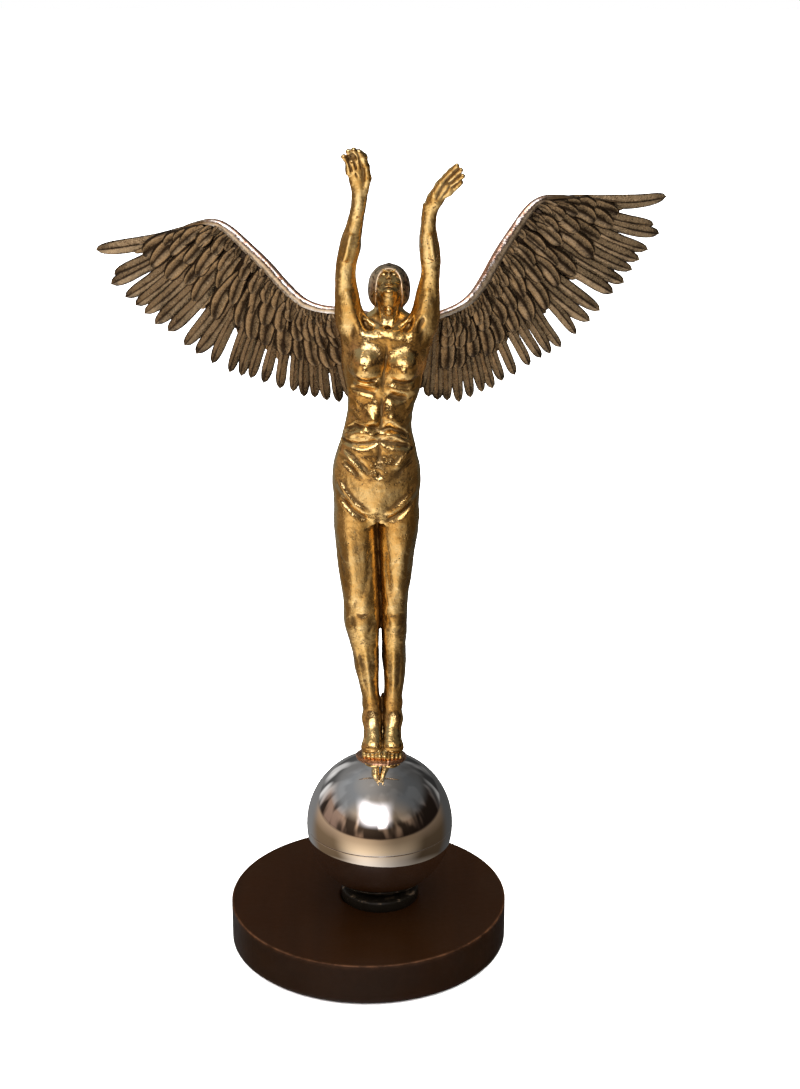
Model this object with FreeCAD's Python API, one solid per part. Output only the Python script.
"""Figure trophy: a winged figure in polished cast brass, on a hollow mirror-polished
steel ball, on a turned plinth.

A threaded rod runs up the ball's axis. A nut and washer in the plinth's counterbore pull
the saddle down onto the ball, the ball onto its collar and the collar onto the plinth. The
figure is cast in sections (feet, body, head, hair, arms) that meet at Roman joints with
hidden pins. Each wing is a polished spar with rows of feather castings; the spar's root is
let into a socket in the figure's back and held by a screw from behind.

Frame: millimetres, +Z up, the figure faces -Y. The origin is the centre of the felt's
underside, on the table. left and right are the viewer's, as seen from the front.
"""

import FreeCAD
import Part
import math
import os

V = FreeCAD.Vector

# Driving dimensions
FELT_THICKNESS = 2.0
FELT_RADIUS = 110.0
PLINTH_RADIUS = 114.0
PLINTH_HEIGHT = 34.0
PLINTH_EDGE_ROUND = 1.2
PLINTH_FOOT_CHAMFER = 0.8
BALL_RADIUS = 60.0
BALL_WALL = 1.5
BALL_OFFSET_X = 9.5  # the ball stands a little to the right of the plinth's centre
BALL_GAP = 7.0  # lowest point of the ball above the plinth
COLLAR_HEIGHT = 9.2
COLLAR_RADIUS = 32.0
COLLAR_EDGE_ROUND = 2.2
ROD_RADIUS = 4.0
ROD_HOLE_RADIUS = 4.2
SADDLE_THICKNESS = 2.5
FIGURE_X = 12.0  # the middle of the feet
ANKLE_JOINT_Z = 200.0
NECK_JOINT_Z = 538.0
WING_MIDDLE_X = 16.8
WING_ROOT_Y = 26.0
WING_SWEEP_DEG = 15.0
WING_TURN_DEG = 6.85  # the left wing is turned down by this much, and the right wing up
FIT_GAP = 0.05

# Heights that follow from them
PLINTH_TOP = FELT_THICKNESS + PLINTH_HEIGHT
BALL_BOTTOM = PLINTH_TOP + BALL_GAP
BALL_CENTRE = V(BALL_OFFSET_X, 0, BALL_BOTTOM + BALL_RADIUS)
BALL_TOP = BALL_CENTRE.z + BALL_RADIUS
INNER_BALL_RADIUS = BALL_RADIUS - BALL_WALL


def export(name, shape):
    """Writes one node and prints its volume."""
    solids = shape.Solids
    if not shape.isValid() or not solids:
        raise SystemExit(f"{name}: not a valid solid")
    kept = solids[0] if len(solids) == 1 else Part.makeCompound(solids)
    kept.exportStep(f"parts/{name}.step")
    print(f"{name}: {len(solids)} solid(s), {kept.Volume / 1000:.1f} cm3")


def rod_axis(z):
    return V(BALL_OFFSET_X, 0, z)


def cylinder(radius, bottom, top, centre=None):
    at = centre or rod_axis(0)
    return Part.makeCylinder(radius, top - bottom, V(at.x, at.y, bottom))


def ball(radius):
    return Part.makeSphere(radius, BALL_CENTRE)


def ellipse_wire(z, x, y, half_width, half_depth):
    """A level oval that always starts at its +X end, so that stacked sections never twist."""
    steps = 16
    turns = [2 * math.pi * i / steps for i in range(steps)]
    points = [V(x + half_width * math.cos(t), y + half_depth * math.sin(t), z) for t in turns]
    curve = Part.BSplineCurve()
    curve.interpolate(Points=points, PeriodicFlag=True)
    return Part.Wire([curve.toShape()])


def stack(sections):
    """A smooth solid through level ovals given as (z, x, y, half width, half depth)."""
    return Part.makeLoft([ellipse_wire(*s) for s in sections], True, False)


def ellipsoid(centre, half_x, half_y, half_z):
    scale = FreeCAD.Matrix()
    scale.scale(half_x, half_y, half_z)
    shape = Part.makeSphere(1.0).transformGeometry(scale)
    shape.translate(centre)
    return shape


def tube_along(points, radii):
    """A tapered round bar through points, each section square to the path."""
    wires = []
    for i, (point, radius) in enumerate(zip(points, radii)):
        ahead = points[min(i + 1, len(points) - 1)]
        behind = points[max(i - 1, 0)]
        circle = Part.Circle(point, ahead - behind, radius)
        wires.append(Part.Wire([circle.toShape()]))
    return Part.makeLoft(wires, True, False)


# ---------------------------------------------------------------- plinth and clamping hardware


def felt_pad():
    return Part.makeCylinder(FELT_RADIUS, FELT_THICKNESS)


COUNTERBORE_RADIUS = 14.0
COUNTERBORE_DEPTH = 12.0
WASHER_RADIUS = 12.0
WASHER_THICKNESS = 2.0
NUT_ACROSS_FLATS = 13.0
NUT_HEIGHT = 6.5


def rims(shape, low, high):
    """The circular edges whose centres lie between two heights."""
    circles = [e for e in shape.Edges if isinstance(e.Curve, Part.Circle)]
    return [e for e in circles if low < e.CenterOfMass.z < high]


def plinth():
    body = Part.makeCylinder(PLINTH_RADIUS, PLINTH_HEIGHT, V(0, 0, FELT_THICKNESS))
    body = body.makeFillet(PLINTH_EDGE_ROUND, rims(body, PLINTH_TOP - 1, PLINTH_TOP + 1))
    body = body.makeChamfer(PLINTH_FOOT_CHAMFER, rims(body, 0, FELT_THICKNESS + 1))
    body = body.cut(cylinder(ROD_HOLE_RADIUS, 0, PLINTH_TOP + 1))
    return body.cut(cylinder(COUNTERBORE_RADIUS, 0, FELT_THICKNESS + COUNTERBORE_DEPTH))


def rod_washer():
    top = FELT_THICKNESS + COUNTERBORE_DEPTH
    washer = cylinder(WASHER_RADIUS, top - WASHER_THICKNESS, top)
    return washer.cut(cylinder(ROD_HOLE_RADIUS, 0, top + 1))


def rod_nut():
    top = FELT_THICKNESS + COUNTERBORE_DEPTH - WASHER_THICKNESS
    bottom = top - NUT_HEIGHT
    corner = NUT_ACROSS_FLATS / 2 / math.cos(math.pi / 6)
    corners = [rod_axis(bottom) + V(math.cos(a), math.sin(a), 0) * corner
               for a in (math.radians(60 * i) for i in range(7))]
    prism = Part.Face(Part.makePolygon(corners)).extrude(V(0, 0, NUT_HEIGHT))
    cone = Part.makeCone(corner + NUT_HEIGHT - 0.5, corner - 0.5, NUT_HEIGHT, rod_axis(bottom), V(0, 0, 1))
    blank = prism.common(cone)
    return blank.cut(cylinder(ROD_RADIUS + FIT_GAP, 0, top + 1))


SPIGOT_RADIUS = 8.0
SPIGOT_LENGTH = 15.0
SPIGOT_THREAD_DEPTH = 12.0


def tie_rod():
    bottom = FELT_THICKNESS + 1.5
    top = BALL_TOP - SPIGOT_LENGTH + SPIGOT_THREAD_DEPTH - 1
    rod = cylinder(ROD_RADIUS, bottom, top)
    return rod.makeChamfer(0.6, rims(rod, 0, BALL_TOP))


def seat_collar():
    """The turned ring that cradles the ball, with a rounded upper edge."""
    ring = cylinder(COLLAR_RADIUS, PLINTH_TOP, PLINTH_TOP + COLLAR_HEIGHT)
    ring = ring.makeFillet(COLLAR_EDGE_ROUND, rims(ring, PLINTH_TOP + 1, PLINTH_TOP + COLLAR_HEIGHT + 1))
    return ring.cut(ball(BALL_RADIUS + FIT_GAP)).cut(cylinder(ROD_HOLE_RADIUS, PLINTH_TOP - 1, BALL_TOP))


# ---------------------------------------------------------------- ball

TUBE_OUTER_RADIUS = 11.0
TUBE_INNER_RADIUS = 9.2
BACKING_RING_HEIGHT = 10.0
BACKING_RING_THICKNESS = 1.3


def ball_half(upper):
    shell = ball(BALL_RADIUS).cut(ball(INNER_BALL_RADIUS))
    side = 2 * BALL_RADIUS + 2
    low = BALL_CENTRE.z if upper else BALL_CENTRE.z - side
    block = Part.makeBox(side, side, side, V(BALL_CENTRE.x - side / 2, -side / 2, low))
    half = shell.common(block)
    if upper:
        return half.cut(cylinder(SPIGOT_RADIUS + FIT_GAP, BALL_CENTRE.z, BALL_TOP + 1))
    return half.cut(cylinder(ROD_HOLE_RADIUS, BALL_BOTTOM - 1, BALL_CENTRE.z))


def ball_backing_ring():
    """The strip inside the equator that lines the two halves up for welding."""
    half = BACKING_RING_HEIGHT / 2
    outer = math.sqrt(INNER_BALL_RADIUS**2 - half**2) - FIT_GAP
    low, high = BALL_CENTRE.z - half, BALL_CENTRE.z + half
    return cylinder(outer, low, high).cut(cylinder(outer - BACKING_RING_THICKNESS, low - 1, high + 1))


def ball_spacer_tube():
    """Carries the rod's clamping load through the hollow ball."""
    half = math.sqrt(INNER_BALL_RADIUS**2 - TUBE_OUTER_RADIUS**2) - FIT_GAP
    low, high = BALL_CENTRE.z - half, BALL_CENTRE.z + half
    return cylinder(TUBE_OUTER_RADIUS, low, high).cut(cylinder(TUBE_INNER_RADIUS, low - 1, high + 1))


# ---------------------------------------------------------------- saddle and feet

SADDLE_HALF_WIDTH = 20.5
SADDLE_HALF_DEPTH = 18.0
SADDLE_SHIFT = 1.0
SADDLE_Y = 6.0
FOOT_HALF_SPACING = 8.5
FOOT_PIN_RADIUS = 1.5
FOOT_PIN_Y = 7.0
SADDLE_TOP_RADIUS = BALL_RADIUS + SADDLE_THICKNESS


def foot_pin_holes(radius):
    bottom = BALL_CENTRE.z + BALL_RADIUS - 0.4
    return [cylinder(radius, bottom, bottom + 12, V(FIGURE_X + side * FOOT_HALF_SPACING, FOOT_PIN_Y, 0))
            for side in (-1, 1)]


def foot_saddle():
    """A domed pad that follows the ball; its spigot goes through the ball's top to the rod."""
    outline = ellipse_wire(BALL_CENTRE.z, FIGURE_X - SADDLE_SHIFT, SADDLE_Y,
                           SADDLE_HALF_WIDTH, SADDLE_HALF_DEPTH)
    prism = Part.Face(outline)
    prism = prism.extrude(V(0, 0, 2 * BALL_RADIUS))
    pad = ball(SADDLE_TOP_RADIUS).cut(ball(BALL_RADIUS + FIT_GAP)).common(prism)
    spigot = cylinder(SPIGOT_RADIUS, BALL_TOP - SPIGOT_LENGTH, BALL_TOP + SADDLE_THICKNESS / 2)
    saddle = pad.fuse(spigot)
    bore_top = BALL_TOP - SPIGOT_LENGTH + SPIGOT_THREAD_DEPTH
    saddle = saddle.cut(cylinder(ROD_RADIUS + FIT_GAP, 0, bore_top))
    for hole in foot_pin_holes(FOOT_PIN_RADIUS):
        saddle = saddle.cut(hole)
    return saddle.removeSplitter()


def foot(side):
    """One foot on tiptoe, as level sections: the toes forward, the heel raised behind."""
    x = FIGURE_X + side * FOOT_HALF_SPACING
    return stack([
        (158.0, x, 2.5, 8.7, 11.5),
        (166.0, x, 2.5, 8.7, 11.0),
        (173.0, x, 5.0, 8.4, 12.0),
        (181.0, x, 9.5, 8.0, 13.0),
        (190.0, x, 14.0, 7.7, 12.0),
        (ANKLE_JOINT_Z, x - side * 0.4, 16.5, 7.5, 9.0),
    ])


ANKLE_PIN_RADIUS = 2.0
ANKLE_PIN_HALF_LENGTH = 8.0
ANKLE_PIN_INSET = 0.4
ANKLE_Y = 16.5
WEB_WIDTH = 6.0
WEB_DEPTH = 12.0
WEB_FRONT_Y = 10.0
WEB_LOW_Z = 176.0


def ankle_pins(radius):
    low = ANKLE_JOINT_Z - ANKLE_PIN_HALF_LENGTH
    high = ANKLE_JOINT_Z + ANKLE_PIN_HALF_LENGTH
    reach = FOOT_HALF_SPACING - ANKLE_PIN_INSET
    return [cylinder(radius, low, high, V(FIGURE_X + side * reach, ANKLE_Y, 0))
            for side in (-1, 1)]


def feet():
    web_corner = V(FIGURE_X - WEB_WIDTH / 2, WEB_FRONT_Y, WEB_LOW_Z)
    web = Part.makeBox(WEB_WIDTH, WEB_DEPTH, ANKLE_JOINT_Z - WEB_LOW_Z, web_corner)
    pair = foot(-1).fuse(foot(1)).fuse(web)
    pair = pair.cut(ball(SADDLE_TOP_RADIUS + FIT_GAP))
    for hole in foot_pin_holes(FOOT_PIN_RADIUS) + ankle_pins(ANKLE_PIN_RADIUS):
        pair = pair.cut(hole)
    return pair


# ---------------------------------------------------------------- body, head and arms


def torso_outer():
    return stack([
        (366.0, 8.0, 5.0, 26.0, 17.0),
        (378.0, 7.9, 5.5, 33.0, 22.5),
        (392.0, 8.0, 5.5, 34.6, 24.0),
        (411.0, 8.2, 4.0, 33.7, 21.5),
        (431.0, 9.0, 2.0, 28.9, 17.5),
        (455.0, 11.0, 1.0, 25.3, 16.0),
        (473.0, 12.8, 1.0, 28.2, 18.5),
        (489.0, 13.2, 1.0, 31.4, 20.5),
        (504.0, 14.9, 2.0, 34.6, 20.0),
        (519.0, 16.3, 4.0, 35.5, 17.5),
        (529.0, 17.0, 6.0, 27.0, 14.0),
        (NECK_JOINT_Z, 17.5, 6.0, 12.5, 10.5),
    ])


def torso_core():
    """The cavity that the casting core leaves, 4 mm inside the skin."""
    return stack([
        (386.0, 8.0, 5.5, 24.0, 15.0),
        (411.0, 8.2, 4.0, 29.0, 17.0),
        (431.0, 9.0, 2.0, 24.5, 13.2),
        (455.0, 11.0, 1.0, 21.0, 11.8),
        (489.0, 13.2, 1.0, 27.0, 16.0),
        (510.0, 15.4, 3.0, 26.0, 13.5),
        (520.0, 16.4, 4.5, 15.0, 9.0),
    ])


def leg(side):
    """A leg from the ankle joint up into the pelvis; the left one is the fuller."""
    left = side < 0
    if left:
        return stack([
            (ANKLE_JOINT_Z, 3.9, 16.5, 7.5, 9.0),
            (215.0, 3.0, 17.5, 8.2, 9.0),
            (236.0, 0.2, 17.5, 10.4, 12.0),
            (262.0, -2.8, 15.5, 12.9, 13.6),
            (288.0, -4.2, 10.5, 14.2, 12.6),
            (312.0, -5.6, 8.5, 15.2, 14.5),
            (345.0, -8.0, 7.0, 16.6, 18.0),
            (378.0, -8.6, 6.0, 16.6, 19.0),
        ])
    return stack([
        (ANKLE_JOINT_Z, 20.1, 16.5, 7.5, 9.0),
        (215.0, 20.6, 18.0, 8.0, 9.2),
        (236.0, 21.0, 19.0, 10.2, 12.4),
        (262.0, 21.3, 17.5, 11.2, 13.8),
        (288.0, 21.3, 13.0, 11.4, 12.4),
        (312.0, 21.6, 10.5, 12.6, 14.2),
        (345.0, 23.6, 8.0, 15.6, 17.6),
        (378.0, 24.8, 6.0, 16.4, 19.0),
    ])


NECK_PIN_RADIUS = 3.0
NECK_PIN_BOTTOM = 522.0
NECK_PIN_TOP = 546.0
NECK_X = 17.5
NECK_Y = 6.0


def neck_pin(radius=NECK_PIN_RADIUS):
    return cylinder(radius, NECK_PIN_BOTTOM, NECK_PIN_TOP, V(NECK_X, NECK_Y, 0))


SHOULDER_PIN_RADIUS = 2.0
SHOULDER_PIN_HALF = 9.0


def shoulder_pins(radius=SHOULDER_PIN_RADIUS):
    """One short pin a side, up through the shoulder into the arm."""
    pins = []
    for x in (-12.5, 45.5):
        start = V(x, 3.0, 532.0 - SHOULDER_PIN_HALF)
        pins.append(Part.makeCylinder(radius, 2 * SHOULDER_PIN_HALF, start))
    return pins


def left_arm_outer():
    return stack([
        (514.0, -8.0, 5.0, 9.0, 10.0),
        (530.0, -11.5, 2.0, 10.2, 10.2),
        (546.0, -13.2, -6.0, 9.4, 9.2),
        (566.0, -14.0, -16.0, 7.9, 8.4),
        (586.0, -10.6, -25.5, 8.1, 8.4),
        (606.0, -6.4, -36.0, 6.4, 7.0),
        (625.0, -2.4, -47.0, 5.0, 5.0),
        (636.0, -2.2, -52.0, 6.6, 4.6),
        (650.0, -4.4, -58.0, 8.3, 4.2),
        (662.0, -7.4, -63.0, 7.0, 3.6),
        (668.0, -8.6, -65.0, 4.4, 2.4),
    ])


def right_arm_outer():
    return stack([
        (514.0, 41.0, 5.0, 9.0, 10.0),
        (530.0, 44.5, 2.0, 10.4, 10.2),
        (546.0, 46.9, -6.0, 9.4, 9.2),
        (566.0, 48.9, -16.0, 7.2, 8.0),
        (586.0, 47.9, -25.5, 7.7, 8.2),
        (606.0, 46.9, -36.0, 5.6, 6.6),
        (617.0, 47.6, -42.5, 5.0, 5.2),
        (628.0, 52.5, -48.0, 8.0, 4.8),
        (640.0, 59.6, -54.0, 9.2, 4.2),
        (650.0, 64.6, -59.0, 6.6, 3.4),
        (655.0, 66.8, -61.0, 3.6, 2.2),
    ])


def breasts():
    return [ellipsoid(V(x, -12.5, 503.0), 12.5, 10.5, 12.5) for x in (0.8, 29.0)]


def buttocks():
    return [ellipsoid(V(x, 16.0, 390.0), 16.5, 15.5, 20.0) for x in (-8.0, 24.0)]


def figure_body(sockets):
    """Torso and legs in one hollow casting, down to the ankle joints."""
    outer = torso_outer().multiFuse([leg(-1), leg(1), *breasts(), *buttocks()])
    pins = [neck_pin(), *shoulder_pins(), *ankle_pins(ANKLE_PIN_RADIUS)]
    body = outer.cut(torso_core())
    for tool in pins + sockets:
        body = body.cut(tool)
    return max(body.Solids, key=lambda s: s.Volume)


HEAD_CENTRE = V(18.0, 13.0, 548.0)
HEAD_TILT_DEG = 60.0
HEAD_HALF_WIDTH = 13.0
HEAD_HALF_DEPTH = 14.5
HEAD_HALF_HEIGHT = 19.0
HAIR_THICKNESS = 2.3


def head_ellipsoid(grow, along_face=0.0):
    """The skull as an ellipsoid tilted back, so that the face looks up."""
    unit = Part.makeSphere(1.0)
    scale = FreeCAD.Matrix()
    scale.scale(HEAD_HALF_WIDTH + grow, HEAD_HALF_DEPTH + grow, HEAD_HALF_HEIGHT + grow)
    shape = unit.transformGeometry(scale)
    tilt = FreeCAD.Rotation(V(1, 0, 0), -HEAD_TILT_DEG)
    forward = tilt.multVec(V(0, -along_face, 0))
    shape.Placement = FreeCAD.Placement(HEAD_CENTRE + forward, tilt)
    return shape


def neck():
    return stack([
        (NECK_JOINT_Z, NECK_X, NECK_Y, 12.5, 10.5),
        (543.0, NECK_X, 7.5, 9.8, 9.6),
        (550.0, 18.0, 9.0, 9.0, 9.0),
    ])


HAIR_ABOVE_JOINT = 2.0
CUT_BLOCK = 80.0


def block_below(z):
    """A block round the neck whose top is at height z."""
    corner = V(NECK_X - CUT_BLOCK / 2, -CUT_BLOCK / 2, z - CUT_BLOCK)
    return Part.makeBox(CUT_BLOCK, CUT_BLOCK, CUT_BLOCK, corner)


def head():
    shape = head_ellipsoid(0).fuse(neck())
    below = block_below(NECK_JOINT_Z)
    return shape.cut(below).cut(torso_outer()).cut(neck_pin())


def hair_cap():
    """A shell of hair round the back and sides of the skull, open at the face and at the nape."""
    shell = head_ellipsoid(HAIR_THICKNESS).cut(head_ellipsoid(0))
    face = head_ellipsoid(-2.0, along_face=13.0)
    below = block_below(NECK_JOINT_Z + HAIR_ABOVE_JOINT)
    hair = shell.cut(face).cut(neck()).cut(below).cut(torso_outer())
    return max(hair.Solids, key=lambda s: s.Volume)


def arm(outer):
    shape = outer.cut(torso_outer())
    for pin in shoulder_pins():
        shape = shape.cut(pin)
    return max(shape.Solids, key=lambda s: s.Volume)


# ---------------------------------------------------------------- wings
# A wing is drawn in its own plane: u runs outwards from the root, v up, w towards the front.
# The root end of the spar also leans forward, into its socket in the back.

SPAR_ROOT_END = [(-30, -8, 8.0), (-18, -6.5, 4.0), (-7, -4.8, 1.8)]
SPAR_LINE = [(0, -3.5), (14, -0.5), (26, 5.5), (38, 18), (50, 34), (64, 50), (77, 64), (88, 70.5),
             (102, 70.5), (124, 65.5), (152, 58.5), (176, 55.5)]
SPAR_W = 1.0  # the spar's axis is a little in front of the feathers' middle
SPAR_ROOT_RADIUS = 4.4
SPAR_WRIST_RADIUS = 3.6
SPAR_END_RADIUS = 1.2
WRIST_INDEX = 7
PRIMARY_TIPS = [(191, 55.5), (179, 35), (183, 27.5), (172.5, 16.5), (165, 9.5), (158.5, 2.5), (151, -6.5),
                (141, -13), (129, -25), (120, -32)]
SECONDARY_TIPS = [
    (108, -40.5), (94.5, -48.5), (85.5, -52), (77.5, -54), (67.5, -58.5), (54.5, -63.5),
    (44, -66.5), (35.5, -71), (27, -72.5), (17, -75), (7.5, -77), (-2, -74),
]
LAYER = 1.8  # thickness of one row of feathers
ROW_GAP = 0.2  # between the spar's side and the rows of feathers
HAND_BARE = 3  # the outermost primaries that the lesser coverts leave bare
SCREW_RADIUS = 1.5
SCREW_HEAD_RADIUS = 2.75
SLOT_LENGTH = 2 * SCREW_HEAD_RADIUS + 1
SLOT_WIDTH = 0.8
SLOT_DEPTH = 1.2
SLOT_OVERSHOOT = 0.2
SCREW_HEAD_HEIGHT = 3.0
SCREW_LENGTH = 14.0
SCREW_U = -18.0


def spar_radius(i):
    """The spar's radius at point i of SPAR_LINE."""
    if i <= WRIST_INDEX:
        return SPAR_ROOT_RADIUS + (SPAR_WRIST_RADIUS - SPAR_ROOT_RADIUS) * i / WRIST_INDEX
    share = (i - WRIST_INDEX) / (len(SPAR_LINE) - 1 - WRIST_INDEX)
    return SPAR_WRIST_RADIUS + (SPAR_END_RADIUS - SPAR_WRIST_RADIUS) * share


def beside_spar(share):
    """A feather's root: a point just under the spar, from share 0 at its root to 1 at the wing's tip."""
    at = share * (len(SPAR_LINE) - 1)
    i = min(int(at), len(SPAR_LINE) - 2)
    (u0, v0), (u1, v1) = SPAR_LINE[i], SPAR_LINE[i + 1]
    f = at - i
    run = math.hypot(u1 - u0, v1 - v0)
    off = spar_radius(i) + (spar_radius(i + 1) - spar_radius(i)) * f + ROW_GAP
    return u0 + (u1 - u0) * f + (v1 - v0) / run * off, v0 + (v1 - v0) * f - (u1 - u0) / run * off


def between(a, b, share):
    return a[0] + (b[0] - a[0]) * share, a[1] + (b[1] - a[1]) * share


def toward(point, target, distance):
    length = math.hypot(target[0] - point[0], target[1] - point[1])
    return between(point, target, distance / length)


def row(roots, tips, notch, low):
    """One row of feathers as a flat casting with a scalloped edge, from w = low to low + LAYER."""
    edge = [tips[0]]
    for i in range(len(tips) - 1):
        middle_root = between(roots[i], roots[i + 1], 0.5)
        for share, depth in ((0.28, 0.3), (0.5, 1.0), (0.72, 0.3)):
            edge.append(toward(between(tips[i], tips[i + 1], share), middle_root, notch * depth))
        edge.append(tips[i + 1])
    outline = [V(u, v, low) for u, v in roots[::-1] + edge]
    return Part.Face(Part.makePolygon(outline + outline[:1])).extrude(V(0, 0, LAYER))


def part_way(roots, tips, share):
    """Tips at this share of the way from the roots."""
    return [between(r, t, share) for r, t in zip(roots, tips)]


def primary_roots():
    return [beside_spar(0.97 - 0.046 * i) for i in range(len(PRIMARY_TIPS))]


def secondary_roots():
    return [beside_spar(0.54 - 0.047 * i) for i in range(len(SECONDARY_TIPS))]


def wing_spar():
    points = [V(u, v, w) for u, v, w in SPAR_ROOT_END] + [V(u, v, SPAR_W) for u, v in SPAR_LINE]
    radii = [SPAR_ROOT_RADIUS] * len(SPAR_ROOT_END) + [spar_radius(i) for i in range(len(SPAR_LINE))]
    return tube_along(points, radii)


def wing_screw():
    """A cheese-head screw that enters the spar's root from behind."""
    v = SPAR_ROOT_END[1][1]
    back = SPAR_ROOT_END[1][2] - SPAR_ROOT_RADIUS + 1.0
    shank = Part.makeCylinder(SCREW_RADIUS, SCREW_LENGTH, V(SCREW_U, v, back))
    head_low = back - SCREW_HEAD_HEIGHT + 0.01
    screw_head = Part.makeCylinder(SCREW_HEAD_RADIUS, SCREW_HEAD_HEIGHT, V(SCREW_U, v, head_low))
    corner = V(SCREW_U - SLOT_LENGTH / 2, v - SLOT_WIDTH / 2, head_low - SLOT_OVERSHOOT)
    slot = Part.makeBox(SLOT_LENGTH, SLOT_WIDTH, SLOT_DEPTH, corner)
    return shank.fuse(screw_head).cut(slot)


def wing_pieces():
    """The castings of one wing and its screw, in the wing's own plane."""
    spar = wing_spar()
    screw = wing_screw()
    first, second = primary_roots(), secondary_roots()
    roots = first + second
    tips = PRIMARY_TIPS + SECONDARY_TIPS
    rows = {
        "primaries": row(first, PRIMARY_TIPS, 9.0, -2 * LAYER),
        "secondaries": row([first[-1]] + second, [PRIMARY_TIPS[-1]] + SECONDARY_TIPS, 5.0, -2 * LAYER),
        "greater_coverts": row(roots, part_way(roots, tips, 0.56), 4.0, -LAYER),
        "lesser_coverts": row(roots[HAND_BARE:], part_way(roots, tips, 0.34)[HAND_BARE:], 2.5, 0.0),
    }
    return {"spar": spar.cut(screw), "screw": screw, **rows}


def placed_wing(shape, side):
    """Stands a piece of the wing upright, turns it, sweeps it back and, for the left wing, mirrors it."""
    turn = FreeCAD.Rotation(V(0, 0, 1), side * WING_TURN_DEG)
    upright = FreeCAD.Rotation(V(1, 0, 0), 90)
    sweep = FreeCAD.Rotation(V(0, 0, 1), WING_SWEEP_DEG)
    shape = shape.copy()
    shape.Placement = FreeCAD.Placement(V(0, 0, 0), sweep * upright * turn)
    if side < 0:
        shape = shape.mirror(V(0, 0, 0), V(1, 0, 0))
    root = V(WING_MIDDLE_X + side * 40.5, WING_ROOT_Y, 531.0 if side < 0 else 528.0)
    shape.translate(root)
    return shape


def main():
    os.makedirs("parts", exist_ok=True)
    export("felt_pad", felt_pad())
    export("plinth", plinth())
    export("rod_washer", rod_washer())
    export("rod_nut", rod_nut())
    export("tie_rod", tie_rod())
    export("seat_collar", seat_collar())
    export("ball_lower_half", ball_half(upper=False))
    export("ball_upper_half", ball_half(upper=True))
    export("ball_backing_ring", ball_backing_ring())
    export("ball_spacer_tube", ball_spacer_tube())
    export("foot_saddle", foot_saddle())
    export("foot_pins", Part.makeCompound(foot_pin_holes(FOOT_PIN_RADIUS)))
    export("feet", feet())
    export("ankle_pins", Part.makeCompound(ankle_pins(ANKLE_PIN_RADIUS)))
    pieces = wing_pieces()
    sockets = [placed_wing(pieces[kind], side) for side in (-1, 1) for kind in ("spar", "screw")]
    export("figure_body", figure_body(sockets))
    export("neck_pin", neck_pin())
    export("shoulder_pins", Part.makeCompound(shoulder_pins()))
    export("head", head())
    export("hair_cap", hair_cap())
    export("left_arm", arm(left_arm_outer()))
    export("right_arm", arm(right_arm_outer()))
    for side, name in ((-1, "left"), (1, "right")):
        for kind, shape in pieces.items():
            if kind != "screw":
                export(f"{name}_wing_{kind}", placed_wing(shape, side))
    export("wing_screws", Part.makeCompound([placed_wing(pieces["screw"], side) for side in (-1, 1)]))


main()
